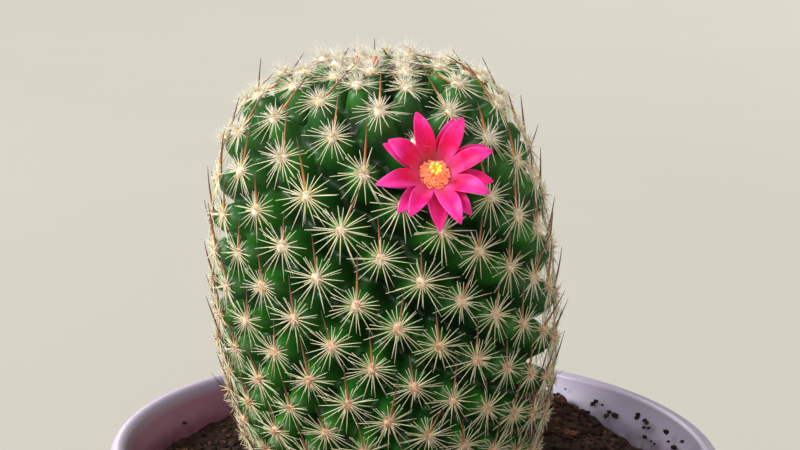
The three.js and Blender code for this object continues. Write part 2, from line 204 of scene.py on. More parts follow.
# %% Shared node groups
def group(name, outputs, **inputs):
    """An empty shader group with float inputs and outputs. Returns it with its two end nodes."""
    tree = bpy.data.node_groups.new(name, "ShaderNodeTree")
    for socket, value in inputs.items():
        made = tree.interface.new_socket(socket, in_out="INPUT", socket_type="NodeSocketFloat")
        made.default_value = value
    for socket in outputs:
        tree.interface.new_socket(socket, in_out="OUTPUT", socket_type="NodeSocketFloat")
    start = tree.nodes.new("NodeGroupInput")
    end = tree.nodes.new("NodeGroupOutput")
    return tree, start.outputs, end.inputs


def patches_group():
    """Soft cloudy patches. Size is their width in metres, Contrast how hard their edges are."""
    tree, start, end = group("Soft patches", ["Mask"], Size=0.01, Contrast=1.0, Detail=3.0)
    place = put(tree, "TexCoord").outputs["Object"]
    scale = sums(tree, "DIVIDE", 1.0, start["Size"])
    cloud = put(tree, "TexNoise", {"Vector": place, "Scale": scale, "Detail": start["Detail"]})
    lifted = sums(tree, "SUBTRACT", cloud.outputs["Fac"], 0.5)
    spread = sums(tree, "MULTIPLY", lifted, start["Contrast"])
    tree.links.new(sums(tree, "ADD", spread, 0.5, clamp=True), end["Mask"])
    return tree


def specks_group():
    """Small round specks. Spacing is the distance between them, Reach how much of it each one covers."""
    tree, start, end = group("Fine specks", ["Mask"], Spacing=0.001, Reach=0.25)
    place = put(tree, "TexCoord").outputs["Object"]
    scale = sums(tree, "DIVIDE", 1.0, start["Spacing"])
    cells = put(tree, "TexVoronoi", {"Vector": place, "Scale": scale})
    near = sums(tree, "SUBTRACT", start["Reach"], cells.outputs["Distance"])
    tree.links.new(sums(tree, "MULTIPLY", near, 12.0, clamp=True), end["Mask"])
    return tree


soft_patches = patches_group()
fine_specks = specks_group()


def patches(tree, size, contrast=1.0, detail=3.0):
    sizes = {"Size": size, "Contrast": contrast, "Detail": detail}
    return put(tree, "Group", node_tree=soft_patches, inputs=sizes).outputs["Mask"]


def specks(tree, spacing, reach):
    sizes = {"Spacing": spacing, "Reach": reach}
    return put(tree, "Group", node_tree=fine_specks, inputs=sizes).outputs["Mask"]


print("groups:", ", ".join(g.name for g in bpy.data.node_groups))

# %% [markdown]
# ## Small tools for shapes
# Most pieces here are either turned, such as the pot, or are one small shape repeated many times,
# such as a spine. A turned piece is a line of points spun about its axis. A repeated piece is made
# once as a small mesh, and copies of it are placed by matrices and gathered into one object, which is
# far lighter than thousands of objects.

# %% Shape helpers
def turned(outline, steps):
    """Spins an outline of (radius, height) points that starts on the axis."""
    bm = bmesh.new()
    points = [bm.verts.new((radius, 0, height)) for radius, height in outline]
    edges = [bm.edges.new(pair) for pair in zip(points, points[1:])]
    bmesh.ops.spin(
        bm, geom=points + edges, cent=(0, 0, 0), axis=(0, 0, 1), angle=tau, steps=steps, use_merge=True,
    )
    bmesh.ops.remove_doubles(bm, verts=bm.verts, dist=0.001 * mm)
    bmesh.ops.recalc_face_normals(bm, faces=bm.faces)
    return bm


def kept(bm, name="template"):
    """A bmesh as a mesh that can be copied into place many times."""
    mesh = bpy.data.meshes.new(name)
    bm.to_mesh(mesh)
    bm.free()
    return mesh


def gathered(placements):
    """One bmesh that holds a copy of each (mesh, matrix) pair."""
    whole = bmesh.new()
    for mesh, matrix in placements:
        copy = mesh.copy()
        copy.transform(matrix)
        whole.from_mesh(copy)
        bpy.data.meshes.remove(copy)
    return whole


def mark(bm, name, value_at):
    """Stores a number on every point, for a material to read."""
    layer = bm.verts.layers.float.get(name) or bm.verts.layers.float.new(name)
    for vert in bm.verts:
        vert[layer] = value_at(vert.co)


def mark_tone(bm, seed):
    """Gives a whole shape one tone out of its own seed."""
    tone = random.Random(seed).random()
    mark(bm, "tone", lambda co: tone)


def ball(subdivisions, size, swell):
    """A ball whose points are pushed out or in by swell(point), then scaled."""
    bm = bmesh.new()
    bmesh.ops.create_icosphere(bm, subdivisions=subdivisions, radius=1)
    for vert in bm.verts:
        vert.co *= 1 + swell(vert.co)
    bmesh.ops.scale(bm, verts=bm.verts, vec=size)
    return bm


def needle(length, root, bend, sides, cuts, tone=0.5, point=0.0):
    """A closed tapering spine or hair from the origin along +Z that bends towards +Y."""
    bm = bmesh.new()
    bmesh.ops.create_cone(
        bm, cap_ends=True, cap_tris=True, segments=sides, radius1=root, radius2=root * point, depth=length,
    )
    bmesh.ops.remove_doubles(bm, verts=bm.verts, dist=root * 0.01)
    bmesh.ops.translate(bm, verts=bm.verts, vec=(0, 0, length / 2))
    upright = [e for e in bm.edges if abs(e.verts[0].co.z - e.verts[1].co.z) > length / 2]
    bmesh.ops.subdivide_edges(bm, edges=upright, cuts=cuts, use_grid_fill=True)
    mark(bm, "along", lambda co: co.z / length)
    mark(bm, "tone", lambda co: tone)
    for vert in bm.verts:
        vert.co.y += bend * (vert.co.z / length) ** 2
    return kept(bm, "needle")


def piece(name, source, material, stands_for=(), smooth=True):
    """A finished part of the model: it rides on the pot's body and may hide the CAD nodes it stands for."""
    mesh = source if isinstance(source, bpy.types.Mesh) else kept(source, name)
    mesh.name = name
    if smooth:
        mesh.shade_smooth()
    mesh.materials.clear()
    mesh.materials.append(material)
    made = shown(name, mesh)
    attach(made, "root")
    if stands_for:
        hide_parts(*stands_for)
    mesh.calc_loop_triangles()
    print(f"{name}: {len(mesh.loop_triangles)} triangles")
    return made


# %% [markdown]
# ## The plant's own frame and its spiral
# Cactus tubercles are laid down at the growing tip one at a time, each turned about 137.5 degrees from
# the last, and are pushed outwards as the stem grows. That rule alone makes the crossing spiral rows,
# so no position is listed: the outline of the stem and the rule give the place of every tubercle.
# The stem leans a little forwards and to the left of the pot's axis.

# %% Stem outline and spiral
soil_level = rim_height - 8 * mm
lean_forward, lean_left = radians(10.5), radians(-5.7)
plant = moved((-2.4 * mm, -2.35 * mm, soil_level)) @ rotated(lean_forward, "X") @ rotated(lean_left, "Y")
stem_radius = 30 * mm
stem_height = 78.5 * mm
waist_height = 40 * mm
waist_narrowing = 0.23
buried_depth = 6 * mm
knob_length = 7.5 * mm
knob_rise = radians(12)
outline_points = 1500
dome_points = 1400
spiral_step = 2.39 * mm
spiral_power = 0.656
first_turn, next_turn = 69.2, 137.55


def stem_outline():
    """Radius, height and distance from the crown of points down the line that the tubercle tips reach."""
    turn = np.linspace(0, np.pi / 2, outline_points)
    reach = ((np.sin(turn) / stem_radius) ** 4 + (np.cos(turn) / stem_height) ** 4) ** -0.25
    radius = np.append(reach * np.sin(turn), stem_radius)
    height = np.append(reach * np.cos(turn), -2 * buried_depth)
    below = np.maximum(waist_height - height, 0) / waist_height
    radius *= 1 - waist_narrowing * below ** 2
    distance = np.append(0, np.cumsum(np.hypot(np.diff(radius), np.diff(height))))
    return radius, height, distance


outline_radius, outline_height, outline_distance = stem_outline()


def spiral_distance(number):
    """How far from the crown, along the outline, a tubercle has been pushed."""
    return spiral_step * (number - 0.5) ** spiral_power


def tubercle(number):
    """One tubercle in the plant's frame: its tip, the ways it faces, and its size."""
    distance = spiral_distance(number)
    radius, ahead = np.interp([distance, distance + mm], outline_distance, outline_radius)
    height, ahead_height = np.interp([distance, distance + mm], outline_distance, outline_height)
    slope = Vector((ahead - radius, ahead_height - height)).normalized()
    turn = radians(first_turn - next_turn * number)
    outwards = Vector((sin(turn), -cos(turn), 0))
    uphill = outwards * -slope.x - Vector((0, 0, slope.y))
    square = outwards * -slope.y + Vector((0, 0, slope.x))
    facing = square * cos(knob_rise) + uphill * sin(knob_rise)
    spacing = sqrt(tau * radius * (spiral_distance(number + 1) - distance))
    return SimpleNamespace(
        tip=outwards * radius + Vector((0, 0, height)), facing=facing, square=square,
        uphill=uphill, sideways=outwards.cross(Vector((0, 0, 1))), spacing=spacing, height=height,
        depth=min(knob_length, spacing * 1.15),
    )


tubercles = []
while not tubercles or tubercles[-1].height > -buried_depth:
    tubercles.append(tubercle(len(tubercles) + 1))
growing = [t for t in tubercles if (plant @ t.tip).z > soil_level + 1 * mm]
print(len(tubercles), "tubercles,", len(growing), "of them above the soil")


def seated(t, lift=0.0, spin=0.0, size=1.0, facing=None):
    """The matrix that stands a small shape on a tubercle's tip: +Z outwards and +Y uphill."""
    facing = facing or t.facing
    up = (t.uphill - facing * t.uphill.dot(facing)).normalized()
    axes = Matrix((up.cross(facing), up, facing)).transposed().to_4x4()
    place = moved(t.tip + t.facing * lift)
    return plant @ place @ axes @ rotated(spin) @ Matrix.Scale(size, 4)


# %% [markdown]
# ## Where the flower sits
# The flower opens on the shoulder of the crown and faces forwards and up. Its place is needed before
# the spines are made, because the spines that would run into it are left out.

# %% Flower frame
flower_turn = radians(22)
flower_up = stem_height - 9.9 * mm
dome_radius = stem_radius * (1 - (flower_up / stem_height) ** 4) ** 0.25
flower_out = dome_radius + 4.3 * mm
flower_face = Vector((flower_out * sin(flower_turn), -flower_out * cos(flower_turn), flower_up))
flower_swing, flower_tilt = 7, 34
flower_seat = plant @ (
    moved(flower_face) @ rotated(radians(flower_swing)) @ rotated(radians(90 - flower_tilt), "X")
)
flower_radius = 9 * mm
throat_radius = 2.5 * mm
throat_depth = 5 * mm
calyx_depth = 1.3 * mm
into_flower = flower_seat.inverted()


def meets_flower(start, end):
    """True if any part of a straight spine is in front of the petals' backs or among them."""
    steps = 8
    for i in range(steps + 1):
        point = into_flower @ start.lerp(end, i / steps)
        out = point.xy.length
        share = max(out - throat_radius, 0) / (flower_radius - throat_radius)
        back = throat_depth * (0.8 * sin(min(share, 1) * radians(98)) - 1) - calyx_depth
        if out < flower_radius + 0.4 * mm and point.z > back:
            return True
    return False


print("flower is", round(flower_out / mm, 1), "mm from the stem's axis")


# %% [markdown]
# ## The stem
# Each tubercle is a fat, blunt finger, broad where it grows from the stem and rounded at the end. One
# finger is turned, placed on every point of the spiral and fused with a core. Joining three hundred
# overlapping fingers with booleans would leave sharp creases, while a real stem runs from one to the
# next in soft dark furrows. A voxel remesh at about three quarters of a millimetre melts them
# together in one go, and a light smoothing takes away the steps that it leaves.

# %% Stem mesh
def finger():
    """A tubercle of unit length and unit spacing."""
    outline = [
        (0, -0.25), (0.47, -0.25), (0.43, 0.0), (0.39, 0.25), (0.35, 0.5), (0.31, 0.7), (0.26, 0.86),
        (0.17, 0.965), (0, 1.0),
    ]
    return kept(turned(outline, 16), "finger")


def core():
    """The flesh under the tubercles, as deep as their furrows."""
    outer = list(zip(outline_radius, outline_height))[:-1:60]
    rows = [(max(r - knob_length, 0), z - knob_length * (z > 0)) for r, z in outer]
    rows += [(stem_radius * 0.5, -buried_depth * 1.4), (0, -buried_depth * 1.6)]
    off_axis = [row for row in rows if row[0] > 0.5 * mm or row[1] < 0]
    return kept(turned([(0, rows[0][1])] + off_axis, 48), "core")


def stem_body():
    random.seed(4)
    one = finger()
    copies = [(core(), plant)]
    for t in tubercles:
        width = t.spacing * between(0.94, 1.07)
        grow = Matrix.Diagonal((width * 1.04, width * 0.96, t.depth, 1))
        copies.append((one, seated(t, lift=-t.depth, spin=between(-0.3, 0.3)) @ grow))
    lumps = shown("lumps", kept(gathered(copies), "lumps"))
    melt = lumps.modifiers.new("melt", "REMESH")
    melt.mode = "VOXEL"
    melt.voxel_size = 0.72 * mm
    drawn = lumps.evaluated_get(bpy.context.evaluated_depsgraph_get())
    mesh = bpy.data.meshes.new_from_object(drawn)
    bpy.data.objects.remove(lumps)
    return mesh


def smoothed(mesh, rounds):
    bm = bmesh.new()
    bm.from_mesh(mesh)
    for _ in range(rounds):
        bmesh.ops.smooth_vert(
            bm, verts=bm.verts, factor=0.5, use_axis_x=True, use_axis_y=True, use_axis_z=True,
        )
    bm.to_mesh(mesh)
    bm.free()
    return mesh


stem_mesh = smoothed(stem_body(), 3)
print("stem:", len(stem_mesh.polygons), "faces")

# %% [markdown]
# ## Where the skin is shaded
# The skin is painted dark in its furrows as shade, a saturated green on the flanks of each tubercle and a
# little paler near its end. After a remesh nothing remembers which tubercle a point belongs to, so the
# distance from each point to the nearest tip is measured and stored on the mesh, with a random tone
# for that tubercle, and the material reads both.

# %% Paint the stem's points
def paint_stem(mesh):
    points = np.empty(len(mesh.vertices) * 3)
    mesh.vertices.foreach_get("co", points)
    points = points.reshape(-1, 3)
    tips = np.array([plant @ t.tip for t in tubercles])
    depths = np.array([t.depth for t in tubercles])
    tones = np.random.default_rng(8).uniform(0, 1, len(tubercles))
    nearest = np.empty(len(points), int)
    batch = 4000
    for start in range(0, len(points), batch):
        part = points[start:start + batch]
        nearest[start:start + batch] = ((part[:, None] - tips[None]) ** 2).sum(2).argmin(1)
    away = np.linalg.norm(points - tips[nearest], axis=1) / depths[nearest]
    for name, values in (("from_tip", away), ("tone", tones[nearest])):
        mesh.attributes.new(name, "FLOAT", "POINT").data.foreach_set("value", values.astype(np.float32))
    print(len(points), "points painted")


paint_stem(stem_mesh)


# %% [markdown]
# ## Skin
# The flesh is deep green and slightly see-through, under a thin waxy coat that gives soft broad
# highlights. The base colour runs from painted shade in the furrow to the tip, changes a little from
# tubercle to tubercle, and has the fine pale specks of a real epidermis.

# %% Skin material
def build_skin(tree, shader):
    depth = painted(tree, "from_tip")
    # Painted shade: both greens darken steeply from the tip into the furrow, where shade falls.
    furrow_shaded_green = ramp(
        tree, depth, (0.0, (0.075, 0.21, 0.02)), (0.3, (0.022, 0.19, 0.004)),
        (0.62, (0.014, 0.125, 0.003)), (0.95, (0.005, 0.034, 0.002)),
    )
    cool_furrow_shaded_green = ramp(
        tree, depth, (0.0, (0.04, 0.10, 0.032)), (0.35, (0.012, 0.062, 0.014)),
        (0.95, (0.003, 0.018, 0.005)),
    )
    waxy = blend(tree, patches(tree, 9 * mm, 2.2), furrow_shaded_green, cool_furrow_shaded_green)
    toned = blend(tree, times(tree, painted(tree, "tone"), 0.35), waxy, (0.006, 0.045, 0.006))
    pale = times(tree, specks(tree, 0.5 * mm, 0.16), patches(tree, 4 * mm, 3.0))
    gloss(tree, shader, patches(tree, 2.5 * mm, 1.6), 0.34, 0.52)
    relief = sums(tree, "ADD", patches(tree, 0.35 * mm, 1.0), patches(tree, 1.6 * mm, 1.0))
    bump(tree, shader, relief, 0.35, 0.12 * mm)
    return blend(tree, times(tree, pale, 0.3), toned, (0.25, 0.38, 0.2))


skin = finish(
    "cactus skin", build_skin, Subsurface_Weight=0.15, Subsurface_Scale=0.002,
    Subsurface_Radius=(0.4, 1.0, 0.15), Coat_Weight=0.08, Coat_Roughness=0.3, Specular_IOR_Level=0.3,
)
piece("stem", stem_mesh, skin, ["cactus"])

# %% [markdown]
# ## Side spines
# Every areole carries a star of about twenty-five stiff spines that lie nearly flat over the skin, long
# at the sides and below and shorter above, with a few short bristles standing among them. A hair system
# would not export, and thousands of separate objects would be slow, so a few different stars are made
# from thin closed needles, and each areole gets one of them, slightly turned and resized.

# %% Spine stars
bristles = 13
flower_reach = 16 * mm


def star_needles(seed):
    """The spines of one star as (needle, matrix, length), lying in XY with uphill along +Y."""
    random.seed(seed)
    count = random.randint(24, 27)
    placed = []
    for i in range(count + bristles):
        short = i >= count
        turn = between(0, tau) if short else tau * (i + between(-0.55, 0.55)) / count
        upward = cos(turn)
        length = (4.7 - 1.4 * max(upward, 0) + 0.2 * max(-upward, 0)) * mm * between(0.7, 1.12)
        lift = between(-3, 9) - 3 * max(-upward, 0)
        if short:
            length, lift = between(0.9, 2.2) * mm, between(15, 50)
        blade = needle(length, 0.1 * mm, between(-0.45, 0.45) * mm, 4, 2, random.random(), 0.35)
        aim = rotated(turn) @ rotated(-radians(90 - lift), "X")
        placed.append((blade, aim @ moved((0, 0, 0.25 * mm)), length))
    return placed


needles = [star_needles(seed) for seed in range(8)]
stars = [kept(gathered([placed[:2] for placed in one]), "star") for one in needles]


def crown_share(t):
    """0 on the column, rising to 1 at the growing tip."""
    if t.height > stem_height * 0.8:
        return max(0.0, 1 - t.tip.xy.length / (0.8 * stem_radius))
    return 0.0


def side_spines(chosen, seed):
    random.seed(seed)
    copies = []
    for t in chosen:
        which = random.randrange(len(stars))
        size = between(0.9, 1.08) * (1 - 0.3 * crown_share(t))
        seat = seated(t, 0.2 * mm, between(-0.2, 0.2), size, t.square)
        if (t.tip - flower_face).length > flower_reach:
            copies.append((stars[which], seat))
            continue
        for blade, place, length in needles[which]:
            if not meets_flower(seat @ place @ Vector(), seat @ place @ Vector((0, 0, length))):
                copies.append((blade, seat @ place))
    return gathered(copies)


def build_side_spine(tree, shader):
    along = painted(tree, "along")
    white = ramp(
        tree, along, (0.0, (0.55, 0.36, 0.15)), (0.15, (0.80, 0.70, 0.46)), (0.5, (0.90, 0.87, 0.70)),
        (1.0, (0.88, 0.85, 0.68)),
    )
    straw = ramp(
        tree, along, (0.0, (0.50, 0.27, 0.07)), (0.2, (0.74, 0.56, 0.22)), (1.0, (0.80, 0.72, 0.46)),
    )
    mixed = blend(tree, times(tree, patches(tree, 6 * mm, 3.0), 0.6), white, straw)
    # Painted shade: spines low on the stem are darkened towards a dull olive, as shade falls there.
    low = fade(tree, whereabouts(tree)["Z"], soil_level + 66 * mm, soil_level + 12 * mm)
    horn = blend(tree, times(tree, low, 0.75), mixed, (0.50, 0.44, 0.27))
    gloss(tree, shader, patches(tree, 1 * mm), 0.42, 0.6)
    return blend(tree, times(tree, painted(tree, "tone"), 0.3), horn, (0.66, 0.58, 0.38))


pale_horn = finish("pale spine horn", build_side_spine, Subsurface_Weight=0.1, Subsurface_Scale=0.0005)
waist = len(growing) // 2
piece("upper_side_spines", side_spines(growing[:waist], 11), pale_horn)
piece("lower_side_spines", side_spines(growing[waist:], 12), pale_horn)

# %% [markdown]
# ## Middle spines
# One longer spine stands in the middle of each areole. It is orange at the root, red brown above and
# nearly black at the point, darker and thinner low on the stem. It follows the stem upwards, so from
# the side these spines trace the stem's outline. A few on the column stray outwards.

# %% Middle spines
spine_rise = radians(76)
crown_spine_rise = radians(88)
stray_share = 0.07
stray_top = 0.75


def middle_spines():
    random.seed(21)
    crown = Vector((0, 0, stem_height))
    copies = []
    for t in growing:
        rise = spine_rise + (crown_spine_rise - spine_rise) * max(t.square.z, 0)
        stray = random.random() < stray_share and t.height < stem_height * stray_top
        rise += radians(random.gauss(-22 if stray else 0, 14 if stray else 4))
        swing = tan(radians(3 + random.gauss(0, 25 if stray else 7)))
        length = 9.0 * mm * min(1, 0.45 + (t.tip - crown).length / stem_radius) * between(0.62, 1.08)
        away = (t.square * cos(rise) + t.uphill * sin(rise) - t.sideways * swing).normalized()
        if meets_flower(plant @ t.tip, plant @ (t.tip + away * length)):
            continue
        bend = between(-0.2, 1.0) * mm
        age = 1.15 - t.height / stem_height + between(-0.3, 0.3) + 1.2 * crown_share(t)
        age = min(max(age, 0), 1)
        one = needle(length, (0.32 - 0.12 * age) * mm, bend, 6, 5, age, 0.15)
        over = away.cross(t.sideways).normalized()
        if over.dot(t.square) > 0:
            over = -over
        across = over.cross(away).normalized()
        axes = Matrix((across, over, away)).transposed().to_4x4()
        copies.append((one, plant @ moved(t.tip - t.facing * 0.2 * mm) @ axes))
    return gathered(copies)


def build_middle_spine(tree, shader):
    along = painted(tree, "along")
    fresh = ramp(
        tree, along, (0.0, (0.70, 0.30, 0.06)), (0.35, (0.56, 0.19, 0.04)), (0.7, (0.24, 0.07, 0.03)),
        (1.0, (0.05, 0.018, 0.013)),
    )
    aged = ramp(
        tree, along, (0.0, (0.34, 0.15, 0.06)), (0.4, (0.19, 0.09, 0.06)), (1.0, (0.06, 0.035, 0.03)),
    )
    gloss(tree, shader, patches(tree, 0.8 * mm), 0.3, 0.45)
    return blend(tree, painted(tree, "tone"), fresh, aged)


red_horn = finish(
    "red brown spine horn", build_middle_spine, Subsurface_Weight=0.08, Subsurface_Scale=0.0005,
)
piece("middle_spines", middle_spines(), red_horn)

# %% [markdown]
# ## Areole wool
# The spines grow from small cushions of felt. Each is a lumpy pad with short curling hairs. Young ones
# at the crown are white and long-haired, and older ones down the stem are beige or brown and nearly
# bare, so the copies are sized and toned by how far they are from the crown. They make two pieces,
# because one would be too heavy.

# %% Wool cushions
def cushion(seed, hairs, reach):
    """A lumpy pad of felt lying in XY, with curling hairs."""
    random.seed(seed)
    shift = Vector((seed, 0, 0))
    bm = ball(2, (0.85 * mm, 1.05 * mm, 0.7 * mm), lambda co: 0.18 * noise.noise(co * 1.9 + shift))
    mark(bm, "along", lambda co: 0.0)
    mark(bm, "tone", lambda co: 0.5)
    placed = [(kept(bm, "pad"), Matrix())]
    for _ in range(hairs):
        turn = between(0, tau)
        lean = radians(between(10, 85))
        length, bend = between(0.5, 1.0) * reach, between(-0.5, 0.5) * reach
        hair = needle(length, 0.045 * mm, bend, 3, 2, random.random())
        aim = rotated(turn) @ rotated(lean, "X")
        placed.append((hair, aim @ moved((0, 0, 0.35 * mm)) @ rotated(turn * 3)))
    return kept(gathered(placed), "cushion")


woolly_height = 0.86
cushions = [cushion(seed, 34, 1.3 * mm) for seed in range(4)]
woolly_cushions = [cushion(seed + 9, 80, 2.6 * mm) for seed in range(3)]


def areole_wool():
    """The cushions of the crown and those of the column, as two lists of copies."""
    random.seed(31)
    crown, column = [], []
    for t in growing:
        woolly = t.height > stem_height * woolly_height
        shapes, copies = (woolly_cushions, crown) if woolly else (cushions, column)
        size = between(0.85, 1.1) + 0.5 * crown_share(t)
        copies.append((random.choice(shapes), seated(t, 0.05 * mm, between(-0.6, 0.6), size)))
    return crown, column


def build_wool(tree, shader):
    youth = fade(tree, whereabouts(tree)["Z"], soil_level + 30 * mm, soil_level + 66 * mm)
    old = blend(tree, patches(tree, 0.9 * mm, 4.0), (0.68, 0.46, 0.30), (0.36, 0.13, 0.05))
    young = blend(tree, patches(tree, 0.9 * mm, 4.0), (0.92, 0.89, 0.80), (0.76, 0.58, 0.32))
    wool = blend(tree, youth, old, young)
    tips = blend(tree, youth, (0.78, 0.66, 0.48), (0.92, 0.90, 0.82))
    bump(tree, shader, patches(tree, 0.25 * mm, 2.0), 0.8, 0.1 * mm)
    return blend(tree, painted(tree, "along"), wool, tips)


felt = finish("areole wool", build_wool, Roughness=0.95, Sheen_Weight=0.3, Sheen_Roughness=0.5)
crown_cushions, column_cushions = areole_wool()
piece("crown_wool", gathered(crown_cushions), felt)
piece("column_wool", gathered(column_cushions), felt)

# %% [markdown]
# ## Petals
# The flower has two whorls of pointed petals. Each is a thin blade with a shallow channel down its
# middle, rising from the throat and rolled back at the tip. A grid is shaped into a blade by moving
# its points, given a real thickness, and rounded by one level of subdivision, so the edge catches
# the light as a real petal's does.

# %% Petal shapes
def petal(width, reach, rise, droop, sink, seed):
    """One petal along +X from the throat, with how far along and across it each point lies."""
    random.seed(seed)
    twist = between(-0.12, 0.12)
    wave = between(0, tau)
    root = throat_radius * 0.6
    length = reach - root
    bm = bmesh.new()
    bmesh.ops.create_grid(bm, x_segments=14, y_segments=8, size=1)
    mark(bm, "along", lambda co: (co.x + 1) / 2)
    mark(bm, "across", lambda co: abs(co.y))
    mark_tone(bm, seed)
    for vert in bm.verts:
        share, side = (vert.co.x + 1) / 2, vert.co.y
        swell = 0.6 + 0.4 * sin(min(share / 0.5, 1) * pi / 2)
        taper = (1 - (max(share - 0.4, 0) / 0.6) ** 1.9) ** 0.8
        half = width / 2 * swell * max(taper, 0.03)
        lift = rise * sin(share * radians(98)) - droop * share ** 4
        channel = 0.2 * width * side * side * sin(pi * min(share + 0.15, 1))
        crease = -0.05 * width * exp(-((side / 0.16) ** 2)) * (1 - share)
        ripple = 0.03 * width * sin(share * 7 + wave + side) * abs(side)
        vert.co = Vector((
            root + length * share, side * half,
            -throat_depth - sink + lift + channel + crease + ripple + twist * side * half * share,
        ))
    bmesh.ops.recalc_face_normals(bm, faces=bm.faces)
    bmesh.ops.solidify(bm, geom=bm.faces[:], thickness=0.2 * mm)
    bmesh.ops.recalc_face_normals(bm, faces=bm.faces)
    return bm


def build_petal(tree, shader):
    along, across = painted(tree, "along"), painted(tree, "across")
    length_colour = ramp(
        tree, along, (0.0, (0.16, 0.09, 0.03)), (0.13, (0.26, 0.09, 0.04)), (0.3, (0.66, 0.02, 0.07)),
        (0.42, (0.84, 0.002, 0.10)), (0.7, (0.88, 0.002, 0.20)), (1.0, (0.84, 0.004, 0.19)),
    )
    stretched = put(tree, "CombineXYZ", {"X": times(tree, along, 1.5), "Y": times(tree, across, 16.0)})
    noise_in = {"Vector": stretched.outputs[0], "Scale": 1.0, "Detail": 2.0}
    veins = put(tree, "TexNoise", noise_in).outputs["Fac"]
    rib = sums(tree, "SUBTRACT", 1.0, sums(tree, "MULTIPLY", across, 2.6), clamp=True)
    ribbed = blend(tree, times(tree, rib, 0.45), length_colour, (0.74, 0.0, 0.09))
    # Painted sheen: lilac patches, stronger towards each petal's sides, stand in for light catching the
    # petals.
    outer_half = sums(tree, "ADD", times(tree, across, 0.6), 0.2)
    sheen = times(tree, patches(tree, 3.5 * mm, 5.0), outer_half)
    lilac = blend(tree, sheen, ribbed, (0.86, 0.08, 0.52))
    veined = blend(tree, times(tree, veins, 0.2), lilac, (0.66, 0.0, 0.14))
    edge = sums(tree, "MULTIPLY", sums(tree, "SUBTRACT", across, 0.93), 6.0, clamp=True)
    bump(tree, shader, veins, 0.3, 0.08 * mm)
    return blend(tree, edge, veined, (0.86, 0.06, 0.26))


petal_flesh = finish(
    "petal flesh", build_petal, Roughness=0.5, Subsurface_Weight=0.25, Subsurface_Scale=0.001,
    Subsurface_Radius=(1.0, 0.25, 0.5), Specular_IOR_Level=0.25,
)


def whorl(kind, count, offset, width, reach, rise, droop, sink):
    """Petals set evenly round the throat, each a little different, each standing for its CAD node."""
    for i in range(count):
        seed = i + (40 if kind == "inner" else 80)
        wobble = random.Random(seed).uniform(0.93, 1.06)
        bm = petal(width, reach * wobble, rise, droop, sink, seed)
        spin = rotated((i + offset) / count * tau + random.Random(seed).uniform(-0.07, 0.07))
        bmesh.ops.transform(bm, matrix=flower_seat @ spin, verts=bm.verts)
        name = f"petal_{kind}_{i + 1:02d}"
        made = piece("visual_" + name, bm, petal_flesh, [name])
        rounding = made.modifiers.new("round", "SUBSURF")
        rounding.levels = rounding.render_levels = 1


whorl("inner", 8, 0.25, 3.15 * mm, flower_radius - 0.1 * mm, throat_depth * 1.15, 0.6 * mm, 0)
whorl("outer", 9, 0.6, 2.85 * mm, flower_radius, throat_depth * 0.85, 0.5 * mm, 0.7 * mm)

# %% [markdown]
# ## Heart of the flower
# Inside the cup stands a brush of orange filaments, each with a small bead of an anther, and through it
# rises the style with its star of yellow stigma lobes. They are small, but they are the brightest spot
# of the whole plant, so the filaments are real needles and the anthers real beads. Their finish glows a
# little, as painted light in place of the light that reaches so deep a brush through the petals around it.

# %% Stamens, style and tube
tube_length = 7.1 * mm
cup_depth = 2.6 * mm
cup_floor = -throat_depth - calyx_depth - cup_depth


def bead(size, seed):
    shift = Vector((0, seed, 0))
    bm = ball(2, size, lambda co: 0.2 * noise.noise(co * 2.3 + shift))
    mark(bm, "along", lambda co: 1.0)
    mark_tone(bm, seed)
    return kept(bm, "bead")


def in_flower(copies):
    """Moves copies that were placed round the flower's own axis to where the flower is."""
    return gathered([(mesh, flower_seat @ matrix) for mesh, matrix in copies])


def stamen_brush():
    random.seed(51)
    copies = []
    count = 170
    for i in range(count):
        turn = i * radians(137.5)
        spread = (0.3 + 2.05 * sqrt((i + 0.5) / count)) * mm
        foot = Vector((*around(turn, 0.4 * spread), cup_floor + 0.5 * mm))
        top = -1.9 * mm + between(-0.7, 0.35) * mm - 0.45 * spread - 0.12 * spread * spread / mm
        tip = Vector((*around(turn, spread), top))
        away = tip - foot
        axes = away.to_track_quat("Z", "Y").to_matrix().to_4x4()
        stalk = needle(away.length, 0.13 * mm, between(-0.2, 0.2) * mm, 4, 2, random.random(), 0.7)
        copies.append((stalk, moved(foot) @ axes))
        anther = bead((0.16 * mm, 0.15 * mm, 0.22 * mm), i)
        tilt = rotated(between(0.2, 1.4), "X") @ rotated(turn)
        copies.append((anther, moved(tip) @ rotated(turn) @ tilt))
    return in_flower(copies)


def build_stamen(tree, shader):
    colour = ramp(
        tree, painted(tree, "along"), (0.0, (0.95, 0.16, 0.07)), (0.55, (1.0, 0.24, 0.10)),
        (0.93, (1.0, 0.30, 0.14)), (0.97, (1.0, 0.40, 0.24)),
    )
    bump(tree, shader, patches(tree, 0.15 * mm, 2.0), 0.5, 0.04 * mm)
    return blend(tree, times(tree, painted(tree, "tone"), 0.5), colour, (1.0, 0.30, 0.14))


# Painted light: the finish glows faintly, in place of the light that reaches the brush through the petals.
pollen = finish(
    "filament and pollen", build_stamen, Roughness=0.6, Subsurface_Weight=0.5, Subsurface_Scale=0.0015,
    Subsurface_Radius=(1.0, 0.5, 0.2), Specular_IOR_Level=0.2,
    Emission_Color=(1.0, 0.36, 0.16, 1), Emission_Strength=0.22,
)
piece("visual_stamens", stamen_brush(), pollen, ["stamens"])


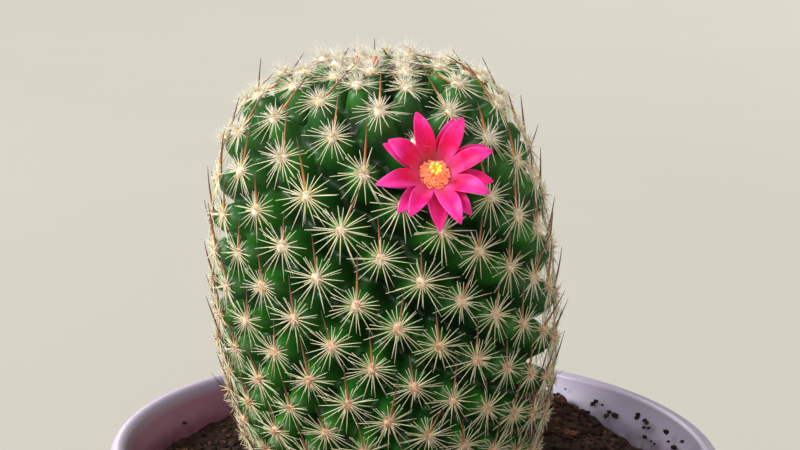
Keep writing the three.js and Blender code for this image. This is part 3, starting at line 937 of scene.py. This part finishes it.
def stigma_star():
    """A style with a star of blunt lobes, each a needle with a round end."""
    top = -1.3 * mm
    copies = [(needle(top - cup_floor, 0.3 * mm, 0, 10, 4, 0.3, 0.8), moved((0, 0, cup_floor)))]
    random.seed(61)
    for i in range(7):
        turn = rotated(i / 7 * tau + between(-0.1, 0.1))
        lean = rotated(radians(between(18, 40)), "X")
        place = moved((0, 0, top - 0.15 * mm)) @ turn @ lean
        copies.append((needle(1.3 * mm, 0.3 * mm, -0.15 * mm, 8, 4, random.random(), 0.9), place))
        end = moved((0, -0.15 * mm, 1.3 * mm))
        copies.append((bead((0.32 * mm, 0.32 * mm, 0.36 * mm), 70 + i), place @ end))
    return in_flower(copies)


def build_stigma(tree, shader):
    fresh = ramp(tree, painted(tree, "along"), (0.0, (0.95, 0.50, 0.10)), (1.0, (1.0, 0.74, 0.10)))
    bump(tree, shader, patches(tree, 0.1 * mm, 2.0), 0.6, 0.03 * mm)
    return blend(tree, times(tree, patches(tree, 0.4 * mm, 2.0), 0.4), fresh, (0.85, 0.62, 0.20))


stigma_felt = finish("stigma", build_stigma, Roughness=0.55, Subsurface_Weight=0.2, Subsurface_Scale=0.0005)
piece("visual_pistil", stigma_star(), stigma_felt, ["pistil"])


def tube_wall():
    """The flower tube: a flared, faintly ribbed stalk hollowed into a cup."""
    top = -throat_depth - 1.0 * mm
    outline = [
        (0, -throat_depth - tube_length), (1.5 * mm, -throat_depth - tube_length),
        (1.7 * mm, -throat_depth - tube_length * 0.6), (2.2 * mm, top - 2 * mm),
        (2.55 * mm, top - 0.3 * mm), (2.6 * mm, top), (2.3 * mm, top + 0.15 * mm),
        (1.9 * mm, top - 0.2 * mm), (1.35 * mm, cup_floor + 0.4 * mm), (0.8 * mm, cup_floor),
        (0, cup_floor),
    ]
    bm = turned(outline, 48)
    for vert in bm.verts:
        turn = atan2(vert.co.y, vert.co.x)
        vert.co.xy *= 1 + 0.03 * cos(turn * 12)
    mark(bm, "along", lambda co: (co.z + throat_depth + tube_length) / (tube_length - 1 * mm))
    bmesh.ops.transform(bm, matrix=flower_seat, verts=bm.verts)
    return bm


def build_tube(tree, shader):
    colour = ramp(
        tree, painted(tree, "along"), (0.0, (0.10, 0.16, 0.03)), (0.6, (0.36, 0.12, 0.06)),
        (1.0, (0.48, 0.12, 0.09)),
    )
    bump(tree, shader, patches(tree, 0.4 * mm, 2.0), 0.4, 0.05 * mm)
    return blend(tree, patches(tree, 1.2 * mm, 2.0), colour, (0.22, 0.12, 0.05))


tube_skin = finish(
    "flower tube skin", build_tube, Roughness=0.5, Subsurface_Weight=0.15, Subsurface_Scale=0.001,
)
piece("visual_flower_tube", tube_wall(), tube_skin, ["flower_tube"])

# %% [markdown]
# ## Buds
# Two small red buds push out of the wool of the crown on short stalks. Each is a blunt cone of a few
# overlapping scales, made as a turned teardrop whose skin is fluted.

# %% Buds
def bud_shape(seed):
    """A bud on a short stalk, before it is scaled to its size."""
    stalk = [(0, -2.6), (0.5, -2.4), (0.6, -0.8)]
    outline = stalk + [(0.8, 0.0), (0.72, 0.7), (0.45, 1.35), (0.16, 1.75), (0, 1.85)]
    bm = turned([(r * mm, z * mm) for r, z in outline], 24)
    for vert in bm.verts:
        turn = atan2(vert.co.y, vert.co.x)
        vert.co.xy *= 1 + 0.09 * abs(sin(turn * 2.5 + seed + vert.co.z / mm))
    mark(bm, "along", lambda co: (co.z / mm + 0.8) / 2.65)
    return kept(bm, "bud")


def build_bud(tree, shader):
    colour = ramp(
        tree, painted(tree, "along"), (0.2, (0.20, 0.20, 0.04)), (0.55, (0.45, 0.05, 0.02)),
        (1.0, (0.50, 0.03, 0.03)),
    )
    bump(tree, shader, patches(tree, 0.3 * mm, 2.0), 0.4, 0.05 * mm)
    return blend(tree, patches(tree, 0.7 * mm, 3.0), colour, (0.60, 0.12, 0.05))


bud_skin = finish("bud skin", build_bud, Roughness=0.45, Subsurface_Weight=0.2, Subsurface_Scale=0.001)
bud_size = 0.7
bud_lift = 0.9 * mm
bud_places = []
for turn, out in ((55, 2.2), (-100, 1.0)):
    side = Vector((sin(radians(turn)), -cos(radians(turn)), 0))
    height = np.interp(out * mm, outline_radius[:dome_points], outline_height[:dome_points]) + bud_lift
    spot = plant @ moved(side * out * mm + Vector((0, 0, height)))
    tilt = Matrix.Rotation(radians(14), 4, Vector((0, 0, 1)).cross(side))
    bud_places.append((bud_shape(turn), spot @ tilt @ Matrix.Scale(bud_size, 4)))
piece("crown_buds", gathered(bud_places), bud_skin)

# %% [markdown]
# ## The pot
# A plain injection-moulded pot: a tapered shell with a deep collar, a rolled rim, a foot ring and
# holes for drainage. It is turned in one piece from an outline whose corners are eased, as a mould's
# are. The drainage holes are cut by a boolean, which suits a hard plastic edge. Splashed soil and a
# painted mauve shade at the left belong to the inner wall only, so the material compares each point's
# distance from the axis with the middle of the wall.

# %% Pot
foot_radius = 40 * mm
pot_wall = 1.6 * mm
rim_bead = 2.8 * mm
collar_height = 17 * mm
collar_step = 1.4 * mm
foot_height = 2.5 * mm
foot_ring = 3.5 * mm
pot_floor = 2 * mm


def pot_slope(z):
    """The pot's outer radius below its collar."""
    return foot_radius + (rim_radius - rim_bead / 2 - collar_step - foot_radius) * z / rim_height


def eased(corners, radius, steps=4):
    """Rounds the inner corners of an outline with short arcs."""
    points = [corners[0]]
    for before, corner, after in zip(corners, corners[1:], corners[2:]):
        a, b, c = Vector(before), Vector(corner), Vector(after)
        reach = min(radius, (a - b).length * 0.45, (c - b).length * 0.45)
        start, end = b + (a - b).normalized() * reach, b + (c - b).normalized() * reach
        for i in range(steps + 1):
            share = i / steps
            points.append(tuple(start.lerp(b, share).lerp(b.lerp(end, share), share)))
    return points + [corners[-1]]


def pot_shell():
    bead_radius = rim_bead / 2
    floor_top = foot_height + pot_floor
    bottom = rim_height - collar_height
    outline = [
        (0, foot_height), (foot_radius - foot_ring, foot_height), (foot_radius - foot_ring, 0),
        (foot_radius, 0), (pot_slope(bottom), bottom), (pot_slope(bottom) + collar_step, bottom + 0.8 * mm),
        (rim_radius - 0.15 * mm, rim_height - rim_bead),
    ]
    outline = eased(outline, 0.7 * mm)
    for i in range(11):
        turn = pi * i / 10
        outline.append((
            rim_radius - bead_radius + bead_radius * cos(turn),
            rim_height - bead_radius + bead_radius * sin(turn),
        ))
    inside = [
        outline[-1], (pot_slope(rim_height - 2 * rim_bead) - pot_wall, rim_height - 2 * rim_bead),
        (pot_slope(floor_top) - pot_wall, floor_top), (0, floor_top),
    ]
    return turned(outline + eased(inside, 1.5 * mm)[1:], 160)


def drilled(bm):
    """Cuts the drainage holes."""
    shell = shown("shell", kept(bm, "shell"))
    drills = bmesh.new()
    holes, hole_ring, hole_radius = 6, 23 * mm, 3.5 * mm
    for i in range(holes):
        place = moved((*around(i / holes * tau, hole_ring), 3.5 * mm))
        bmesh.ops.create_cone(
            drills, cap_ends=True, segments=40, radius1=hole_radius, radius2=hole_radius, depth=12 * mm,
            matrix=place,
        )
    drill = shown("drill", kept(drills, "drill"))
    cut = shell.modifiers.new("drain", "BOOLEAN")
    cut.object, cut.operation, cut.solver = drill, "DIFFERENCE", "EXACT"
    mesh = bpy.data.meshes.new_from_object(shell.evaluated_get(bpy.context.evaluated_depsgraph_get()))
    for made in (shell, drill):
        bpy.data.objects.remove(made)
    return mesh


def build_pot(tree, shader):
    base = blend(tree, patches(tree, 22 * mm, 1.5), (0.42, 0.375, 0.54), (0.445, 0.395, 0.57))
    dust = times(tree, patches(tree, 6 * mm, 3.5, 6.0), 0.22)
    dusty = blend(tree, dust, base, (0.48, 0.44, 0.50))
    place = whereabouts(tree)
    flat = put(tree, "CombineXYZ", {"X": place["X"], "Y": place["Y"]}).outputs[0]
    radius = put(tree, "VectorMath", {0: flat}, operation="LENGTH").outputs["Value"]
    flare = (pot_slope(rim_height) - pot_slope(0)) / rim_height
    collar_middle = sums(tree, "ADD", times(tree, place["Z"], flare), foot_radius + 0.4 * mm)
    above = sums(tree, "GREATER_THAN", place["Z"], soil_level - 8 * mm)
    inner = times(tree, sums(tree, "LESS_THAN", radius, collar_middle), above)
    # Painted shade: below the rim, the inner wall at the left is darkened to mauve, as shade falls there.
    under_rim = fade(tree, place["Z"], rim_height - 0.8 * mm, rim_height - 2.8 * mm)
    far_left = fade(tree, place["X"], 20 * mm, -40 * mm)
    painted_left_wall_shade = blend(tree, times(tree, far_left, inner, under_rim), dusty, (0.33, 0.12, 0.20))
    low = fade(tree, place["Z"], soil_level + 5 * mm, soil_level - 2 * mm)
    splash = times(tree, low, inner, patches(tree, 3 * mm, 4.0, 8.0), 0.7)
    gloss(tree, shader, patches(tree, 5 * mm, 2.0), 0.30, 0.46)
    bump(tree, shader, patches(tree, 0.5 * mm, 1.0), 0.12, 0.05 * mm)
    return blend(tree, splash, painted_left_wall_shade, (0.10, 0.06, 0.05))


lilac_plastic = finish(
    "lilac plastic", build_pot, Subsurface_Weight=0.12, Subsurface_Scale=0.004, Specular_IOR_Level=0.5,
)
piece("visual_pot", drilled(pot_shell()), lilac_plastic, ["pot"])

# %% [markdown]
# ## Potting soil
# Soil is never a flat disc: it is heaped where it was firmed around the plant, and broken into crumbs
# at every scale. The bed is a turned block whose top is pushed up and down by noise, and thousands of
# small broken crumbs, fibres and chips lie on it, which is what makes it read as soil.

# %% Soil bed
soil_gap = 0.3 * mm
ripple_height = 1.1 * mm * 0.6
bank_turn = radians(56)
bank_height = 5.5 * mm
bank_width = 13 * mm


def soil_top(x, y):
    """The height of the soil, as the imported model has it: uneven, and banked up at the back right."""
    across, back = x / mm, y / mm
    ripple = sin(across / 7 + 1) * cos(back / 6) + 0.6 * sin((across + back) / 4)
    bank_x, bank_y = around(bank_turn, pot_slope(soil_level) - pot_wall)
    bank = bank_height * exp(-((hypot(x - bank_x, y - bank_y) / bank_width) ** 2))
    return soil_level + ripple_height * ripple + bank


def rough_top(x, y):
    """The same with clods and crumbs."""
    place = Vector((x, y, 0))
    clods = noise.fractal(place / (5 * mm), 1.0, 2.0, 4) * 0.9 * mm
    grains = noise.noise(place / (0.9 * mm)) * 0.3 * mm
    return soil_top(x, y) + clods + grains


def soil_bed():
    wall = pot_slope(soil_level) - pot_wall - soil_gap
    floor = foot_height + pot_floor + soil_gap
    rings = 62
    outline = [(0, floor), (pot_slope(floor) - pot_wall - soil_gap, floor), (wall, soil_level - 4 * mm)]
    outline += [(wall * i / rings, soil_level) for i in range(rings, -1, -1)]
    bm = turned(outline, 260)
    for vert in bm.verts:
        if vert.co.z > soil_level - 1e-5:
            vert.co.z = rough_top(vert.co.x, vert.co.y)
    bmesh.ops.recalc_face_normals(bm, faces=bm.faces)
    return bm


def build_soil(tree, shader):
    dark = blend(tree, patches(tree, 3 * mm, 2.5, 8.0), (0.012, 0.007, 0.006), (0.045, 0.022, 0.015))
    brown = blend(tree, times(tree, patches(tree, 1.1 * mm, 5.0, 6.0), 0.35), dark, (0.11, 0.045, 0.025))
    pale = times(tree, specks(tree, 2.2 * mm, 0.12), 0.6)
    relief = sums(tree, "ADD", patches(tree, 0.6 * mm, 2.0, 6.0), patches(tree, 0.25 * mm, 2.0))
    bump(tree, shader, relief, 0.9, 0.3 * mm)
    return blend(tree, pale, brown, (0.30, 0.25, 0.22))


peat = finish("moist peat", build_soil, Roughness=0.93, Specular_IOR_Level=0.25)
piece("visual_soil", soil_bed(), peat, ["soil"])

# %% [markdown]
# ## Crumbs, fibres, bark and grit
# The loose pieces are broken lumps: a low ball pushed out of shape and squashed. Fibres are thin bent
# needles lying flat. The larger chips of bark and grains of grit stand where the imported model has
# them, each with its own shape.

# %% Loose pieces
def lump(seed, subdivisions, flat, roughness):
    """A broken lump of unit size."""
    shift = Vector((seed * 3.1, seed * 1.7, 0))

    def swell(co):
        return roughness * (noise.noise(co * 1.3 + shift) + 0.4 * noise.noise(co * 3.1 + shift))

    bm = ball(subdivisions, (1, 0.8, flat), swell)
    mark_tone(bm, seed)
    return kept(bm, "lump")


crumb_shapes = [lump(seed, 1 if seed < 5 else 2, 0.75, 0.6) for seed in range(8)]
bed_radius = pot_slope(soil_level) - pot_wall - soil_gap
stem_foot_radius = 26 * mm
crumb_count, wall_crumb_count, fibre_count = 2600, 46, 130


def clear_of_stem(x, y, margin):
    """True if a place on the soil is outside the foot of the stem."""
    foot = plant @ Vector((0, 0, 0))
    return hypot(x - foot.x, y - foot.y) > stem_foot_radius + margin


def crumbs():
    random.seed(71)
    copies = []
    while len(copies) < crumb_count:
        turn, out = between(0, tau), bed_radius * sqrt(random.random())
        x, y = around(turn, out)
        if out > bed_radius - 1 * mm or not clear_of_stem(x, y, 0):
            continue
        size = between(0.25, 0.6) ** 1.3 * 1.5 * mm if random.random() < 0.9 else between(0.8, 1.7) * mm
        tumble = rotated(between(0, tau)) @ rotated(between(-0.6, 0.6), "X")
        place = moved((x, y, rough_top(x, y) + size * 0.25))
        copies.append((random.choice(crumb_shapes), place @ tumble @ Matrix.Scale(size, 4)))
    return gathered(copies)


def wall_crumbs():
    """Crumbs that stick to the inside of the pot above the soil, most of them at the back right."""
    random.seed(76)
    copies = []
    for _ in range(wall_crumb_count):
        turn = radians(random.gauss(38, 26) if random.random() < 0.75 else between(0, 360))
        height = soil_level + between(1.2, 6.6) * mm
        size = between(0.25, 0.75) * mm
        out = min(pot_slope(height) - pot_wall, rim_radius - rim_bead) - size * 0.2
        place = moved((*around(turn, out), height))
        tumble = rotated(between(0, tau), "X")
        copies.append((random.choice(crumb_shapes), place @ tumble @ Matrix.Scale(size, 4)))
    return gathered(copies)


def fibres():
    random.seed(81)
    copies = []
    while len(copies) < fibre_count:
        turn, out = between(0, tau), between(0.5, 0.93) * bed_radius
        x, y = around(turn, out)
        if not clear_of_stem(x, y, 2 * mm):
            continue
        length = between(2, 6) * mm
        root, bend = between(0.05, 0.14) * mm, between(-0.3, 0.3) * length
        strand = needle(length, root, bend, 4, 4, random.random(), 0.5)
        lie = rotated(between(0, tau)) @ rotated(radians(between(78, 94)), "X")
        copies.append((strand, moved((x * 0.97, y * 0.97, rough_top(x, y) + 0.5 * mm)) @ lie))
    return gathered(copies)


def build_crumb(tree, shader):
    colour = ramp(
        tree, painted(tree, "tone"), (0.0, (0.010, 0.006, 0.005)), (0.55, (0.035, 0.017, 0.011)),
        (0.8, (0.085, 0.033, 0.018)), (1.0, (0.17, 0.075, 0.04)),
    )
    bump(tree, shader, patches(tree, 0.2 * mm, 2.0), 0.7, 0.1 * mm)
    return blend(tree, patches(tree, 0.8 * mm, 3.0), colour, (0.02, 0.011, 0.009))


crumb_finish = finish("soil crumbs", build_crumb, Roughness=0.92, Specular_IOR_Level=0.25)
piece("soil_crumbs", crumbs(), crumb_finish, smooth=False)
piece("crumbs_on_pot", wall_crumbs(), crumb_finish, smooth=False)


def build_bark(tree, shader):
    place = put(tree, "TexCoord").outputs["Object"]
    stretched = put(tree, "Mapping", {"Vector": place, "Scale": (1, 1, 6)}).outputs["Vector"]
    grain = put(tree, "TexNoise", {"Vector": stretched, "Scale": 900, "Detail": 4.0}).outputs["Fac"]
    bump(tree, shader, grain, 0.8, 0.2 * mm)
    return ramp(
        tree, grain, (0.3, (0.05, 0.018, 0.01)), (0.55, (0.14, 0.05, 0.025)), (0.75, (0.26, 0.11, 0.055)),
    )


bark_finish = finish("bark", build_bark, Roughness=0.85, Specular_IOR_Level=0.3)
piece("soil_fibres", fibres(), bark_finish)


def build_grit(tree, shader):
    bump(tree, shader, patches(tree, 0.25 * mm, 3.0), 0.8, 0.12 * mm)
    return blend(tree, patches(tree, 0.8 * mm, 3.0), (0.62, 0.58, 0.66), (0.36, 0.31, 0.36))


grit_finish = finish("pale grit", build_grit, Roughness=0.85)


def stand_in_lump(node, material, shape_seed, roughness):
    """Gives one loose CAD piece a broken shape of its own, in the same place and size."""
    low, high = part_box(node)
    bm = bmesh.new()
    bm.from_mesh(lump(shape_seed, 3, 1.0, roughness))
    size = [max(abs(vert.co[i]) for vert in bm.verts) for i in range(3)]
    half = (high - low) / 2
    bmesh.ops.scale(bm, verts=bm.verts, vec=[half[i] / size[i] for i in range(3)])
    bmesh.ops.translate(bm, verts=bm.verts, vec=(low + high) / 2 - Vector((0, 0, 0.3 * mm)))
    piece("visual_" + node, bm, material, [node])


for node in sorted(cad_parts):
    number = sum(ord(letter) for letter in node)
    if node.startswith("bark_chip"):
        stand_in_lump(node, bark_finish, number, 0.75)
    elif node.startswith("grit"):
        stand_in_lump(node, grit_finish, number, 0.4)

# %% [markdown]
# ## Floor and light
# A pale matt floor, flat round the pot and rising slowly far away, so no horizon shows. The light is
# even and soft: a wide window at the left and a little in front, a weak fill from the front, and a
# weaker light at the back left that picks out the spines along the stem's edge. The surround is pale.

# %% Floor and lights
def build_floor(tree, shader):
    return blend(tree, patches(tree, 0.4, 1.0), (0.43, 0.425, 0.385), (0.455, 0.45, 0.405))


def floor():
    flat, reach, rise, steps = 1.2, 4.0, 0.9, 16
    outline = [(0, 0)] + [(flat + reach * t / steps, rise * (t / steps) ** 2) for t in range(steps + 1)]
    made = shown("floor", kept(turned(outline, 128), "floor"))
    made.data.shade_smooth()
    made.data.materials.append(finish("pale floor", build_floor, Roughness=0.9))


def soft_light(name, side, spread, strength, colour):
    """Even light from one side, as wide in degrees as the lamp or window it comes from."""
    data = bpy.data.lights.new(name, "SUN")
    data.angle, data.energy, data.color = radians(spread), strength, colour
    lamp = shown(name, data)
    lamp.location = side
    lamp.rotation_euler = Vector(side).to_track_quat("Z", "Y").to_euler()


floor()
soft_light("window", (-0.85, -0.38, 0.6), 26, 4.2, (1.0, 0.98, 0.94))
soft_light("fill", (0.0, -1.1, 0.45), 40, 0.8, (1.0, 0.97, 0.93))
soft_light("back", (-0.5, 0.8, 0.5), 32, 1.3, (1.0, 0.98, 0.95))
surround = bpy.data.worlds.new("surround")
surround.use_nodes = True
sky = surround.node_tree.nodes["Background"]
sky.inputs["Color"].default_value = (0.86, 0.83, 0.77, 1)
sky.inputs["Strength"].default_value = 0.5
bpy.context.scene.world = surround
